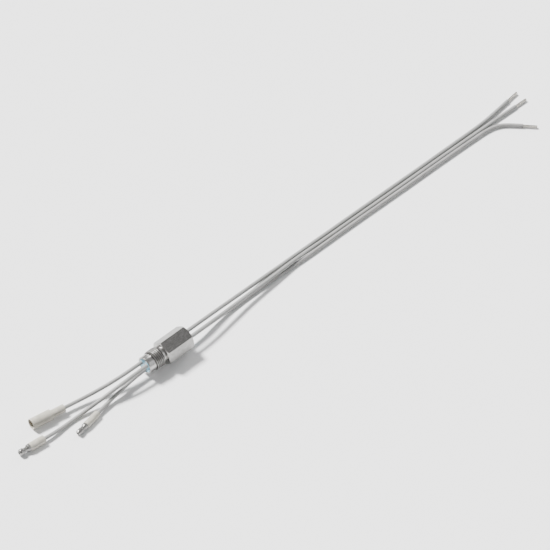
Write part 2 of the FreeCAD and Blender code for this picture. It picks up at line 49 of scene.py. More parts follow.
# ------------------------------------------------------------------ camera
# The long lens gives the flat, parallel look of an axonometric view.
AZIMUTH, ELEVATION, REACH = math.radians(-43.11), math.radians(49.39), 12.34
target = Vector((102.57, -1.185, 0.0)) * MM
back = Vector(
    (
        math.sin(AZIMUTH) * math.cos(ELEVATION),
        -math.cos(AZIMUTH) * math.cos(ELEVATION),
        math.sin(ELEVATION),
    )
)
camera = bpy.data.objects.new("camera", bpy.data.cameras.new("camera"))
scene.collection.objects.link(camera)
camera.data.sensor_width = 36.0
camera.data.lens = 36.0 * REACH / 0.36778
camera.data.clip_start, camera.data.clip_end = 1.0, 100.0
camera.location = target + back * REACH
camera.rotation_euler = back.to_track_quat("Z", "Y").to_euler()
scene.camera = camera


# ------------------------------------------------------------------ materials
def material(name):
    m = bpy.data.materials.new(name)
    m.use_nodes = True
    t = m.node_tree
    return m, t, t.nodes["Principled BSDF"]


def node(t, kind, **settings):
    n = t.nodes.new(kind)
    for key, value in settings.items():
        if key.startswith("in_"):
            n.inputs[key[3:].replace("_", " ")].default_value = value
        else:
            setattr(n, key, value)
    return n


def ramp(t, source, stops):
    r = t.nodes.new("ShaderNodeValToRGB")
    while len(r.color_ramp.elements) < len(stops):
        r.color_ramp.elements.new(0.5)
    for e, (at, value) in zip(r.color_ramp.elements, stops):
        e.position = at
        e.color = (*value, 1) if isinstance(value, tuple) else (value, value, value, 1)
    t.links.new(source, r.inputs["Fac"])
    return r.outputs["Color"]


def math_node(t, operation, a, b=None, clamp=False):
    n = node(t, "ShaderNodeMath", operation=operation, use_clamp=clamp)
    for socket, value in zip(n.inputs, (a, b)):
        if value is None:
            continue
        if isinstance(value, (int, float)):
            socket.default_value = value
        else:
            t.links.new(value, socket)
    return n.outputs[0]


def coordinates(t, scale, kind="Object"):
    """Object coordinates in millimetres, stretched by scale."""
    c = node(t, "ShaderNodeTexCoord")
    m = node(t, "ShaderNodeMapping")
    m.inputs["Scale"].default_value = [s * (1000.0 if kind == "Object" else 1.0) for s in scale]
    t.links.new(c.outputs[kind], m.inputs["Vector"])
    return m.outputs["Vector"]


def noise_of(t, vector, detail=4.0, rough=0.55, scale=1.0):
    n = node(t, "ShaderNodeTexNoise")
    n.inputs["Scale"].default_value = scale
    n.inputs["Detail"].default_value = detail
    n.inputs["Roughness"].default_value = rough
    t.links.new(vector, n.inputs["Vector"])
    return n.outputs["Fac"]


def bump(t, bsdf, height, distance, strength=1.0, normal=None):
    b = node(t, "ShaderNodeBump")
    b.inputs["Strength"].default_value = strength
    b.inputs["Distance"].default_value = distance
    t.links.new(height, b.inputs["Height"])
    if normal is not None:
        t.links.new(normal, b.inputs["Normal"])
    if bsdf is not None:
        t.links.new(b.outputs["Normal"], bsdf.inputs["Normal"])
    return b.outputs["Normal"]


def rings(t, per_mm):
    """A value that changes along the X axis and outwards from it, so that it draws turning marks on every face."""
    v = coordinates(t, (1, 1, 1))
    s = node(t, "ShaderNodeSeparateXYZ")
    t.links.new(v, s.inputs[0])
    y2 = math_node(t, "MULTIPLY", s.outputs[1], s.outputs[1])
    z2 = math_node(t, "MULTIPLY", s.outputs[2], s.outputs[2])
    r = math_node(t, "SQRT", math_node(t, "ADD", y2, z2))
    w = math_node(t, "MULTIPLY", math_node(t, "ADD", s.outputs[0], r), per_mm)
    n = node(t, "ShaderNodeTexNoise", noise_dimensions="1D")
    n.inputs["Scale"].default_value = 1.0
    n.inputs["Detail"].default_value = 3.0
    n.inputs["Roughness"].default_value = 0.7
    t.links.new(w, n.inputs["W"])
    return n.outputs["Fac"]


def metal(name, dark, light, rough, marks_per_mm=9.0, mark_depth=0.0000035, brushed=False, warm=None, deep=None):
    """Plated metal with turning or brushing marks and faint stains."""
    m, t, b = material(name)
    b.inputs["Metallic"].default_value = 1.0
    cloud = noise_of(t, coordinates(t, (0.35, 0.35, 0.35)), 5.0, 0.6)
    fine = noise_of(t, coordinates(t, (3.1, 3.1, 3.1)), 3.0, 0.6)
    if brushed:
        marks = noise_of(t, coordinates(t, (0.22, 9.0, 9.0)), 4.0, 0.7)
    else:
        marks = rings(t, marks_per_mm)
    mixed = math_node(t, "ADD", math_node(t, "MULTIPLY", cloud, 0.65), math_node(t, "MULTIPLY", marks, 0.35))
    stops = [(0.3, dark), (0.68, light)]
    if warm:
        stops = [(0.22, warm)] + stops
        stops[1] = (0.36, dark)
    colour = ramp(t, mixed, stops)
    if deep:
        # painted shade that darkens the thread's roots and the bullets' hollow tips, by distance from the axis in mm
        s = node(t, "ShaderNodeSeparateXYZ")
        t.links.new(coordinates(t, (1, 1, 1)), s.inputs[0])
        y2 = math_node(t, "MULTIPLY", s.outputs[1], s.outputs[1])
        z2 = math_node(t, "MULTIPLY", s.outputs[2], s.outputs[2])
        r = math_node(t, "SQRT", math_node(t, "ADD", y2, z2))
        up = math_node(t, "DIVIDE", math_node(t, "SUBTRACT", r, deep[0]), deep[1] - deep[0], clamp=True)
        shade = ramp(t, up, [(0.0, (0.05, 0.048, 0.046)), (0.52, (0.17, 0.165, 0.16)), (1.0, (1.0, 1.0, 1.0))])
        mix = node(t, "ShaderNodeMix", data_type="RGBA", blend_type="MULTIPLY")
        mix.inputs[0].default_value = 1.0
        t.links.new(colour, mix.inputs[6])
        t.links.new(shade, mix.inputs[7])
        colour = mix.outputs[2]
    t.links.new(colour, b.inputs["Base Color"])
    grit = math_node(t, "ADD", math_node(t, "MULTIPLY", fine, 0.5), math_node(t, "MULTIPLY", marks, 0.5))
    t.links.new(ramp(t, grit, [(0.25, rough - 0.07), (0.75, rough + 0.09)]), b.inputs["Roughness"])
    low = bump(t, None, cloud, 0.00002, 0.25)
    bump(t, b, marks, mark_depth, 0.9, low)
    return m


def lead_cover(name, shade, light, offset):
    """Extruded white insulation: soft sheen, faint draw lines, slight dirt and a waxy highlight."""
    m, t, b = material(name)
    v = coordinates(t, (0.09, 0.9, 0.9))
    v2 = coordinates(t, (1.6, 1.6, 1.6))
    cloud = noise_of(t, coordinates(t, (0.06 + offset, 0.3, 0.3)), 5.0, 0.6)
    draw = noise_of(t, v, 3.0, 0.6)
    grain = noise_of(t, v2, 4.0, 0.6)
    mixed = math_node(t, "ADD", math_node(t, "MULTIPLY", cloud, 0.7), math_node(t, "MULTIPLY", grain, 0.3))
    t.links.new(ramp(t, mixed, [(0.32, shade), (0.6, light)]), b.inputs["Base Color"])
    t.links.new(ramp(t, grain, [(0.3, 0.38), (0.7, 0.5)]), b.inputs["Roughness"])
    b.inputs["Specular IOR Level"].default_value = 0.45
    b.inputs["Subsurface Weight"].default_value = 0.12
    b.inputs["Subsurface Radius"].default_value = (1.0, 0.9, 0.8)
    b.inputs["Subsurface Scale"].default_value = 0.0006
    low = bump(t, None, draw, 0.000012, 0.3)
    bump(t, b, grain, 0.000004, 0.3, low)
    return m


def nylon(name, shade, light, rough=0.34):
    """Natural moulded nylon: milky, a little see-through at thin edges, with a fine moulded skin."""
    m, t, b = material(name)
    cloud = noise_of(t, coordinates(t, (0.28, 0.28, 0.28)), 4.0, 0.55)
    grain = noise_of(t, coordinates(t, (5.0, 5.0, 5.0)), 3.0, 0.6)
    t.links.new(ramp(t, cloud, [(0.3, shade), (0.68, light)]), b.inputs["Base Color"])
    t.links.new(ramp(t, grain, [(0.3, rough - 0.05), (0.7, rough + 0.08)]), b.inputs["Roughness"])
    b.inputs["Subsurface Weight"].default_value = 0.3
    b.inputs["Subsurface Radius"].default_value = (1.0, 0.92, 0.78)
    b.inputs["Subsurface Scale"].default_value = 0.0009
    b.inputs["Specular IOR Level"].default_value = 0.5
    bump(t, b, grain, 0.000012, 0.3)
    return m


def epoxy(name, shade, light):
    """Cast potting: pale blue, glossy, clouded, with a few tiny pits left by air."""
    m, t, b = material(name)
    cloud = noise_of(t, coordinates(t, (0.42, 0.42, 0.42)), 5.0, 0.6)
    t.links.new(ramp(t, cloud, [(0.3, shade), (0.66, light)]), b.inputs["Base Color"])
    b.inputs["Roughness"].default_value = 0.16
    b.inputs["Coat Weight"].default_value = 0.35
    b.inputs["Coat Roughness"].default_value = 0.06
    b.inputs["Subsurface Weight"].default_value = 0.35
    b.inputs["Subsurface Radius"].default_value = (0.7, 0.9, 1.0)
    b.inputs["Subsurface Scale"].default_value = 0.0012
    pits = node(t, "ShaderNodeTexVoronoi", feature="F1")
    pits.inputs["Scale"].default_value = 1.0
    t.links.new(coordinates(t, (1.3, 1.3, 1.3)), pits.inputs["Vector"])
    small = ramp(t, pits.outputs["Distance"], [(0.0, 0.0), (0.09, 1.0)])
    low = bump(t, None, cloud, 0.00005, 0.4)
    bump(t, b, small, 0.00003, 0.6, low)
    return m


BODY = metal("nickel_turned", (0.29, 0.286, 0.278), (0.44, 0.432, 0.42), 0.25, 7.0)
FLATS = metal("nickel_flats", (0.2, 0.197, 0.192), (0.33, 0.325, 0.316), 0.27, mark_depth=0.0000022, brushed=True)
# deep paints shade into the thread's roots
THREAD = metal("nickel_thread", (0.48, 0.473, 0.46), (0.64, 0.63, 0.613), 0.44, 14.0, deep=(6.5, 7.13))
# deep paints shade into the bullets' hollow tips and into any tin surface close to its own axis
TIN = metal("tin_plate", (0.2, 0.197, 0.19), (0.35, 0.345, 0.334), 0.31, 11.0, 0.000003, deep=(0.72, 1.02))
STRAND = metal("tinned_strand", (0.42, 0.4, 0.365), (0.62, 0.595, 0.555), 0.26, brushed=True, warm=(0.45, 0.36, 0.27))
COVER = {
    name: lead_cover("lead_cover_" + name, shade, light, i * 0.004)
    for i, (name, shade, light) in enumerate(
        [
            ("short_lead_1", (0.205, 0.205, 0.201), (0.262, 0.262, 0.256)),
            ("short_lead_2", (0.201, 0.200, 0.195), (0.260, 0.257, 0.251)),
            ("short_lead_3", (0.205, 0.203, 0.199), (0.264, 0.261, 0.255)),
            ("long_lead_a", (0.202, 0.202, 0.198), (0.260, 0.260, 0.255)),
            ("long_lead_b", (0.206, 0.206, 0.201), (0.257, 0.257, 0.252)),
            ("long_lead_c", (0.200, 0.199, 0.194), (0.260, 0.257, 0.252)),
        ]
    )
}
NYLON = nylon("natural_nylon", (0.335, 0.318, 0.272), (0.43, 0.412, 0.358))
SPACER = nylon("spacer_board", (0.72, 0.69, 0.6), (0.82, 0.79, 0.7), 0.5)
POTTING = epoxy("pale_blue_potting", (0.18, 0.42, 0.58), (0.34, 0.62, 0.76))


# ------------------------------------------------------------------ building meshes
def add_object(name, mesh, mats, place=None):
    o = bpy.data.objects.new(name, mesh)
    scene.collection.objects.link(o)
    for m in mats if isinstance(mats, (list, tuple)) else [mats]:
        mesh.materials.append(m)
    if place is not None:
        o.matrix_world = place
    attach(o, "root")
    return o


def smooth(mesh, angle=32.0):
    for p in mesh.polygons:
        p.use_smooth = True
    mesh.set_sharp_from_angle(angle=math.radians(angle))


def rounded(points, closed, k=4, guard=True):
    """Rounds the corners of a profile. points are (along, radius, fillet) in mm. Gives (along, radius) points,
    always the same number for the same fillets that aren't zero."""
    out = []
    n = len(points)
    for i, (x, r, f) in enumerate(points):
        if f <= 0 or (not closed and i in (0, n - 1)):
            out.append((x, r))
            continue
        p = Vector((x, r))
        a = Vector(points[(i - 1) % n][:2]) - p
        c = Vector(points[(i + 1) % n][:2]) - p
        la, lc = a.length, c.length
        if min(la, lc) < 1e-9:
            out += [(x, r)] * (k + 1 + (2 if guard else 0))
            continue
        a.normalize()
        c.normalize()
        half = max(math.acos(max(-1.0, min(1.0, a.dot(c)))) / 2, 1e-4)
        reach = min(f / math.tan(half), 0.46 * la, 0.46 * lc)
        radius = reach * math.tan(half)
        bis = (a + c)
        if bis.length < 1e-6:
            out += [tuple(p + a * reach * (1 - j / k)) for j in range(k + 1)]
            if guard:
                out += [tuple(p)] * 2
            continue
        centre = p + bis.normalized() * (radius / math.sin(half))
        start, stop = p + a * reach, p + c * reach
        u, v = start - centre, stop - centre
        sweep = math.atan2(u.x * v.y - u.y * v.x, u.dot(v))
        if guard:
            out.append(tuple(start + a * min(0.35 * reach, 0.03 * la)))
        for j in range(k + 1):
            w = sweep * j / k
            out.append(
                (
                    centre.x + u.x * math.cos(w) - u.y * math.sin(w),
                    centre.y + u.x * math.sin(w) + u.y * math.cos(w),
                )
            )
        if guard:
            out.append(tuple(stop + c * min(0.35 * reach, 0.03 * lc)))
    return out


def lathe_mesh(name, profile, closed, columns=120, warp=None, gap=None):
    """Turns a profile in mm about the X axis. An open profile starts and ends on the axis. warp(x, r, angle) gives
    (x, r). gap is (first angle, last angle) of an opening that runs the piece's length, with flat sides."""
    bm = bmesh.new()
    if gap:
        angles = [gap[1] + (2 * math.pi - (gap[1] - gap[0])) * i / columns for i in range(columns + 1)]
    else:
        angles = [2 * math.pi * i / columns for i in range(columns)]
    grid = []
    for x, r in profile:
        if r < 1e-6:
            v = bm.verts.new((x * MM, 0, 0))
            grid.append([v] * len(angles))
            continue
        row = []
        for a in angles:
            px, pr = warp(x, r, a) if warp else (x, r)
            row.append(bm.verts.new((px * MM, pr * math.cos(a) * MM, pr * math.sin(a) * MM)))
        grid.append(row)
    rows = len(grid)
    for i in range(rows if closed else rows - 1):
        lower, upper = grid[i], grid[(i + 1) % rows]
        for j in range(len(angles) - (1 if gap else 0)):
            q = (j + 1) % len(angles)
            ring = []
            for v in (lower[j], lower[q], upper[q], upper[j]):
                if v not in ring:
                    ring.append(v)
            if len(ring) > 2:
                bm.faces.new(ring)
    if gap and closed:
        bm.faces.new([row[0] for row in grid])
        bm.faces.new([row[-1] for row in reversed(grid)])
    bmesh.ops.remove_doubles(bm, verts=bm.verts, dist=1e-8)
    bmesh.ops.dissolve_degenerate(bm, edges=bm.edges, dist=1e-8)
    bmesh.ops.recalc_face_normals(bm, faces=bm.faces)
    me = bpy.data.meshes.new(name)
    bm.to_mesh(me)
    bm.free()
    smooth(me)
    return me


def placed(x, y, radius, heading):
    """Where a terminal's local X axis starts and points, level and resting on the floor."""
    return Matrix.Translation((x * MM, y * MM, FLOOR + radius * MM)) @ Matrix.Rotation(math.radians(heading), 4, "Z")


# ------------------------------------------------------------------ leads
LEAD, CORE = 0.0027, 0.00183
SOCKET = placed(-76.455, 12.916, 3.9, 170.224)
LARGE = placed(-103.8, 2.75, 2.9, 173.924)
SMALL = placed(-62.41, -4.87, 2.4, -169.44)
ROUTES = {
    "short_lead_1": [
        (-0.0087, 0.0030124, 0.000921),
        (-0.023, 0.0030124, 0.000921),
        (-0.0385, 0.0051, -0.0014),
        (-0.054, 0.0086, -0.0042),
        (-0.0685712, 0.0115576, -0.0051262),
        (-0.0813824, 0.013765, -0.0051262),
    ],
    "short_lead_2": [
        (-0.0087, -0.0023038, 0.0021483),
        (-0.024, -0.0023038, 0.0021483),
        (-0.042, -0.00085, -0.0009),
        (-0.058, 0.0012, -0.005),
        (-0.073, 0.0027, -0.007676),
        (-0.085, 0.0026, -0.007676),
        (-0.0973365, 0.002062, -0.0061262),
        (-0.1087719, 0.0032792, -0.0061262),
    ],
    "short_lead_3": [
        (-0.0087, -0.0007086, -0.0030693),
        (-0.021, -0.0007086, -0.0030693),
        (-0.035, -0.0016, -0.0043),
        (-0.0521861, -0.002964, -0.0066262),
        (-0.0673253, -0.0057863, -0.0066262),
    ],
    "long_lead_a": [
        (0.016, 0.0021488, 0.0012242),
        (0.033, 0.0021488, 0.0012242),
        (0.057, 0.00435, -0.00235),
        (0.084, 0.0064, -0.00595),
        (0.112, 0.00734, -0.007676),
        (0.15, 0.00702, -0.007676),
        (0.198, 0.00678, -0.007676),
        (0.246, 0.0063, -0.007676),
        (0.28, 0.0063, -0.007676),
        (0.3, 0.0062, -0.007676),
        (0.316, 0.0078, -0.007676),
        (0.3276, 0.0093, -0.007676),
    ],
    "long_lead_b": [
        (0.016, -0.0030993, 0.0012058),
        (0.033, -0.0030993, 0.0012058),
        (0.056, -0.00143, -0.00113),
        (0.08, 0.00056, -0.00335),
        (0.103, 0.00157, -0.00445),
        (0.128, 0.00319, -0.0057),
        (0.152, 0.0038, -0.007676),
        (0.18, 0.0037, -0.007676),
        (0.218, 0.0033, -0.007676),
        (0.258, 0.00322, -0.007676),
        (0.292, 0.0028, -0.007676),
        (0.312, 0.00245, -0.007676),
        (0.328, 0.0021, -0.007676),
    ],
    "long_lead_c": [
        (0.016, -0.0004594, -0.00333),
        (0.031, -0.0004594, -0.00333),
        (0.048, 0.00103, -0.00559),
        (0.07, 0.002, -0.007676),
        (0.098, 0.00195, -0.007676),
        (0.13, 0.00075, -0.007676),
        (0.17, 0.00098, -0.007676),
        (0.218, 0.00052, -0.007676),
        (0.258, 0.00044, -0.007676),
        (0.282, 0.00015, -0.007676),
        (0.3, -0.0002, -0.007676),
        (0.3086, -0.0029, -0.007676),
        (0.3147, -0.0084, -0.007676),
        (0.3197, -0.014, -0.007676),
    ],
}


def spline_curve(name, points, diameter, mat):
    data = bpy.data.curves.new(name, "CURVE")
    data.dimensions = "3D"
    s = data.splines.new("NURBS")
    s.points.add(len(points) - 1)
    for p, co in zip(s.points, points):
        p.co = (*co, 1)
    s.order_u = 3
    s.use_endpoint_u = True
    s.resolution_u = 24
    data.resolution_u = 24
    data.bevel_depth = diameter / 2
    data.bevel_resolution = 10
    data.use_fill_caps = True
    data.materials.append(mat)
    o = bpy.data.objects.new(name, data)
    scene.collection.objects.link(o)
    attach(o, "root")
    return o


leads, cores = {}, {}
for key, points in ROUTES.items():
    lead = spline_curve(key, points, LEAD, COVER[key])
    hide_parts(key + "_insulation")
    leads[key] = lead


# ------------------------------------------------------------------ conductors
def tube_along(bm, points, radius, sides=10, cap_round=True):
    """A closed round rod through points in metres, with softly rounded ends."""
    pts = [Vector(p) for p in points]
    rows = []
    up = Vector((0, 0, 1))
    for i, p in enumerate(pts):
        d = (pts[min(i + 1, len(pts) - 1)] - pts[max(i - 1, 0)]).normalized()
        side = d.cross(up).normalized()
        top = side.cross(d)
        rows.append([(p, d, side, top, radius)])
    d0, d1 = rows[0][0][1], rows[-1][0][1]
    stations = []
    if cap_round:
        stations.append((pts[0] - d0 * radius * 0.3, rows[0][0], radius * 0.6))
    for row in rows:
        stations.append((row[0][0], row[0], radius))
    if cap_round:
        stations.append((pts[-1] + d1 * radius * 0.3, rows[-1][0], radius * 0.6))
    made = []
    for centre, (_, d, side, top, _), r in stations:
        made.append(
            [
                bm.verts.new(centre + (side * math.cos(a) + top * math.sin(a)) * r)
                for a in (2 * math.pi * j / sides for j in range(sides))
            ]
        )
    for lower, upper in zip(made, made[1:]):
        for j in range(sides):
            q = (j + 1) % sides
            bm.faces.new((lower[j], lower[q], upper[q], upper[j]))
    bm.faces.new(list(reversed(made[0])))
    bm.faces.new(made[-1])


def strands(name, points, bare, inside=0.004):
    """The twisted strands that show past the end of a long lead's cover."""
    end, before = Vector(points[-1]), Vector(points[-2])
    d = (end - before).normalized()
    side = d.cross(Vector((0, 0, 1))).normalized()
    top = side.cross(d)
    rand = random.Random(name)
    bm = bmesh.new()
    r = CORE / 2 / 5
    lay = 0.017
    turn0 = rand.uniform(0, 6.28)
    for count, circle, tight in ((1, 0.0, 1.0), (6, 2 * r, 1.0), (12, 3.86 * r, 1.0)):
        for k in range(count):
            start = turn0 + 2 * math.pi * k / count + (0.25 if count == 12 else 0.0)
            last = bare - rand.uniform(0.0, 0.00035) - (0.0001 if count == 12 else 0.0)
            steps = 44
            path = []
            for i in range(steps + 1):
                s = -inside + (inside + last) * i / steps
                a = start + 2 * math.pi * s / lay
                path.append(end + d * s + (side * math.cos(a) + top * math.sin(a)) * circle)
            tube_along(bm, path, r * (1.03 if count == 12 else 1.0), 12)
    bmesh.ops.recalc_face_normals(bm, faces=bm.faces)
    me = bpy.data.meshes.new(name)
    bm.to_mesh(me)
    bm.free()
    smooth(me, 50)
    return add_object(name, me, STRAND)


def extended(points, at_start, at_end):
    """The same control points with the first and last moved along their runs."""
    p = [Vector(q) for q in points]
    head = p[0] + (p[0] - p[1]).normalized() * at_start
    tail = p[-1] + (p[-1] - p[-2]).normalized() * at_end
    return [tuple(head)] + [tuple(q) for q in p[1:-1]] + [tuple(tail)]


ends = {}
for key, points in ROUTES.items():
    if key.startswith("short"):
        core = spline_curve(key + "_core", extended(points, 0.0117, 0.006), CORE, STRAND)
        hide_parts(key + "_conductor")
        cores[key] = [core]
    else:
        ends[key] = strands(key + "_strands", points, 0.009525)
        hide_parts(key + "_conductor")
        cores[key] = [ends[key]]

# ------------------------------------------------------------------ hexagon body
APOTHEM, CORNER_R, TURN = 7.9375, 0.28, math.radians(20)
PITCH = 1.411


def hex_columns():
    """Angles from +Y towards +Z, closely spaced at the six corners."""
    edge = math.degrees(math.atan((APOTHEM - CORNER_R) * math.tan(math.radians(30)) / APOTHEM))
    gap = 30 - edge
    local = [-30 + gap * g for g in (0, 0.34, 0.67, 1.0)]
    flat = np.linspace(-edge + 0.35, edge - 0.35, 20)
    local += list(flat) + [30 - gap * g for g in (1.0, 0.67, 0.34)]
    out = []
    for k in range(6):
        # the flats' normals stand at 20, 80, ... degrees from +Z towards -Y, which is 110, 170, ... from +Y towards +Z
        for a in local:
            out.append(math.radians(110 + 60 * k + a))
    base = out[0]
    return [base + (a - base) for a in out]


def hex_radius(angle):
    local = (math.degrees(angle) - 110 + 30) % 60 - 30
    phi = math.radians(local)
    edge = math.atan((APOTHEM - CORNER_R) * math.tan(math.radians(30)) / APOTHEM)
    if abs(phi) <= edge:
        return APOTHEM / math.cos(phi)
    psi = math.radians(30) - abs(phi)
    c = (APOTHEM - CORNER_R) / math.cos(math.radians(30))
    return c * math.cos(psi) + math.sqrt(max(0.0, CORNER_R**2 - (c * math.sin(psi)) ** 2))


def thread_radius(phase):
    """The thread's form: a rounded root, 60 degree flanks and a narrow flat crest."""
    total = 0.0
    for k in (-2, -1, 0, 1, 2):
        u = (phase + 0.03 * k + PITCH / 2) % PITCH - PITCH / 2
        total += min(0.866, max(0.0, (abs(u) - 0.1175) / math.tan(math.radians(30))))
    return 6.278 + total / 5


def build_body():
    columns = hex_columns()
    n = len(columns)
    # rows of the thread, evenly dense, which follow the helix
    per = 18
    phases = [PITCH * i / per for i in range(per)]
    first = -10.1 - PITCH
    count = int(math.ceil((10.1 + PITCH - 2.1) / PITCH * per)) + 2
    bm = bmesh.new()
    grid = []
    labels = None
    for a in columns:
        shift = PITCH * (a - columns[0]) / (2 * math.pi)
        nose = rounded(
            [
                (4.0, 5.1, 0),
                (-14.7, 5.1, 0.08),
                (-15.2, 5.6, 0.06),
                (-15.2, 5.9, 0.06),
                (-14.85, 6.25, 0.1),
                (-10.1, 6.25, 0),
            ],
            False,
        )
        thread = []
        for k in range(count):
            s = first + PITCH * k / per
            x = min(max(s + shift, -10.1), -2.1)
            r = min(thread_radius(s - first), 6.25 + (x + 10.1) * 1.0, 6.1 + (-2.1 - x) * 1.0)
            thread.append((x, max(r, 6.1)))
        radius = hex_radius(a)
        lean = (radius - 7.7) * math.tan(math.radians(30))
        rest = rounded(
            [
                (-2.1, 6.1, 0),
                (0.0, 6.1, 0.12),
                (0.0, 7.7, 0.08),
                (lean, radius, 0.10),
                (22.5 - lean, radius, 0.10),
                (22.5, 7.7, 0.08),
                (22.5, 6.5, 0.08),
                (22.0, 6.0, 0.08),
                (4.0, 6.0, 0),
            ],
            False,
        )
        row = [(p, "turned") for p in nose] + [(p, "thread") for p in thread] + [(p, "rest") for p in rest]
        labels = [tag for _, tag in row]
        grid.append([bm.verts.new((x * MM, r * math.cos(a) * MM, r * math.sin(a) * MM)) for (x, r), _ in row])
    start = labels.index("thread")
    stop = start + count
    rows = len(labels)
    for j in range(n):
        q = (j + 1) % n
        here, there = grid[j], grid[q]
        wrap = per if q == 0 else 0
        for i in range(rows):
            i2 = (i + 1) % rows
            a, b = here[i], here[i2]

            def other(index):
                if start <= index < stop:
                    return there[min(index + wrap, stop - 1)]
                return there[index]

            ring = []
            for v in (a, other(i), other(i2), b):
                if v not in ring:
                    ring.append(v)
            if len(ring) > 2:
                try:
                    f = bm.faces.new(ring)
                except ValueError:
                    continue
                xs = [v.co.x / MM for v in ring]
                rs = [math.hypot(v.co.y, v.co.z) / MM for v in ring]
                if start <= i < stop:
                    f.material_index = 2
                elif min(rs) > 7.9 and min(xs) > 0.05 and max(xs) < 22.45:
                    f.material_index = 1
    bmesh.ops.remove_doubles(bm, verts=bm.verts, dist=2e-7)
    bmesh.ops.dissolve_degenerate(bm, edges=bm.edges, dist=2e-7)
    bmesh.ops.recalc_face_normals(bm, faces=bm.faces)
    me = bpy.data.meshes.new("hexagon_body")
    bm.to_mesh(me)
    bm.free()
    smooth(me, 34)
    return me


hexagon = add_object("hexagon_body", build_body(), [BODY, FLATS, THREAD])
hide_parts("hex_body")


# ------------------------------------------------------------------ potting
def potting(name, level, outward, deep, bore, holes, seed):
    """A closed plug whose visible face is dished and climbs the bore's wall and the leads."""
    rings_n, spokes = 46, 160
    bm = bmesh.new()

    def height(y, z):
        r = math.hypot(y, z)
        h = 0.16 * (r / bore) ** 2 - 0.16
        h += 0.24 * math.exp(-(bore - r) / 0.28)
        for hy, hz in holes:
            d = max(math.hypot(y - hy, z - hz) - 1.35, 0.0)
            h += 0.42 * math.exp(-d / 0.3)
        h += 0.05 * noise.noise(Vector((y * 0.55, z * 0.55, seed)))
        return h

    top = []
    centre = bm.verts.new(((level + outward * height(0, 0)) * MM, 0, 0))
    for i in range(1, rings_n + 1):
        r = bore * (i / rings_n) ** 0.85
        row = []
        for j in range(spokes):
            a = 2 * math.pi * j / spokes
            y, z = r * math.cos(a), r * math.sin(a)
            row.append(bm.verts.new(((level + outward * height(y, z)) * MM, y * MM, z * MM)))
        top.append(row)
    for j in range(spokes):
        bm.faces.new((centre, top[0][j], top[0][(j + 1) % spokes]))
    for lower, upper in zip(top, top[1:]):
        for j in range(spokes):
            q = (j + 1) % spokes
            bm.faces.new((lower[j], upper[j], upper[q], lower[q]))
    bottom = [bm.verts.new((deep * MM, v.co.y, v.co.z)) for v in top[-1]]
    for j in range(spokes):
        q = (j + 1) % spokes
        bm.faces.new((top[-1][j], bottom[j], bottom[q], top[-1][q]))
    bm.faces.new(bottom)
    bmesh.ops.recalc_face_normals(bm, faces=bm.faces)
    me = bpy.data.meshes.new(name)
    bm.to_mesh(me)
    bm.free()
    smooth(me, 60)
    return add_object(name, me, POTTING)


front_holes = [(3.0124, 0.921), (-2.3038, 2.1483), (-0.7086, -3.0693)]
rear_holes = [(2.1488, 1.2242), (-3.0993, 1.2058), (-0.4594, -3.33)]
plug = potting("front_potting_fill", -14.86, -1, 4.0, 5.095, front_holes, 1.7)
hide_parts("front_potting")
plug = potting("rear_potting_fill", 22.0, 1, 7.0, 5.995, rear_holes, 6.1)
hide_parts("rear_potting")


# ------------------------------------------------------------------ male bullets and sleeves
def bullet(prefix, place, sleeve_r, sleeve_len, reach, head, neck, collar, nose, hole):
    tip = sleeve_len + reach
    profile = rounded(
        [
            (tip - 4.5, 0.0, 0),
            (tip - 4.5, hole, 0.12),
            (tip - 0.12, hole, 0.1),
            (tip, hole + 0.22, 0.12),
            (tip, nose, 0.3),
            (tip - 0.25, nose + 0.2, 0.25),
            (tip - 1.0, head, 0.8),
            (sleeve_len + 4.6 + (head - neck) * 1.7, head, 0.35),
            (sleeve_len + 4.6, neck, 0.3),
            (sleeve_len + 2.8, neck, 0.3),
            (sleeve_len + 1.7, collar, 0.3),
            (sleeve_len + 0.02, collar, 0.1),
            (sleeve_len + 0.02, 1.7, 0.05),
            (5.0, 1.7, 0.1),
            (5.0, 1.0, 0.1),
            (11.0, 1.0, 0.05),
            (11.0, 0.0, 0),
        ],
        False,
        5,
    )

    def seam(x, r, a):
        # the closed seam that a bullet rolled from sheet shows along its length
        off = abs((a - math.radians(250) + math.pi) % (2 * math.pi) - math.pi) * max(r, 0.1)
        if x > sleeve_len and r > hole + 0.3:
            r -= 0.10 * math.exp(-((off / 0.07) ** 2))
        return x, r

    me = lathe_mesh(prefix + "_bullet_pin", profile, False, 180, seam)
    pin = add_object(prefix + "_bullet_pin", me, TIN, place)
    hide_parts(prefix + "_bullet")

    shell = rounded(
        [
            (0.0, 2.0, 0.1),
            (0.0, sleeve_r, 0.28),
            (sleeve_len, sleeve_r, 0.22),
            (sleeve_len, 1.72, 0.05),
            (5.0, 1.72, 0.05),
            (5.0, 1.36, 0.05),
            (2.5, 1.36, 0.2),
        ],
        True,
        5,
    )

    def crimp(x, r, a):
        # soft hollow that the crimping tool leaves over the barrel
        if r > 1.9:
            across = max(0.0, math.cos(a - math.radians(75))) ** 6
            r -= 0.10 * across * math.exp(-(((x - 7.2) / 1.5) ** 2))
        return x, r

    dense = densify(shell, 0.45)
    me = lathe_mesh(prefix + "_sleeve_shell", dense, True, 160, crimp)
    shell_o = add_object(prefix + "_sleeve_shell", me, NYLON, place)
    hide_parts(prefix + "_bullet_sleeve")
    return pin, shell_o


def densify(profile, step):
    """Adds points along the long straight parts of a closed profile."""
    out = []
    for (x0, r0), (x1, r1) in zip(profile, profile[1:] + profile[:1]):
        out.append((x0, r0))
        parts = int(math.hypot(x1 - x0, r1 - r0) / step)
        for i in range(1, parts):
            out.append((x0 + (x1 - x0) * i / parts, r0 + (r1 - r0) * i / parts))
    return out


large_pin, large_shell = bullet("large", LARGE, 2.9, 11.92, 8.68, 2.285, 1.68, 2.62, 1.6, 0.7)
small_pin, small_shell = bullet("small", SMALL, 2.4, 13.0, 8.9, 1.98, 1.7, 2.2, 1.5, 0.6)

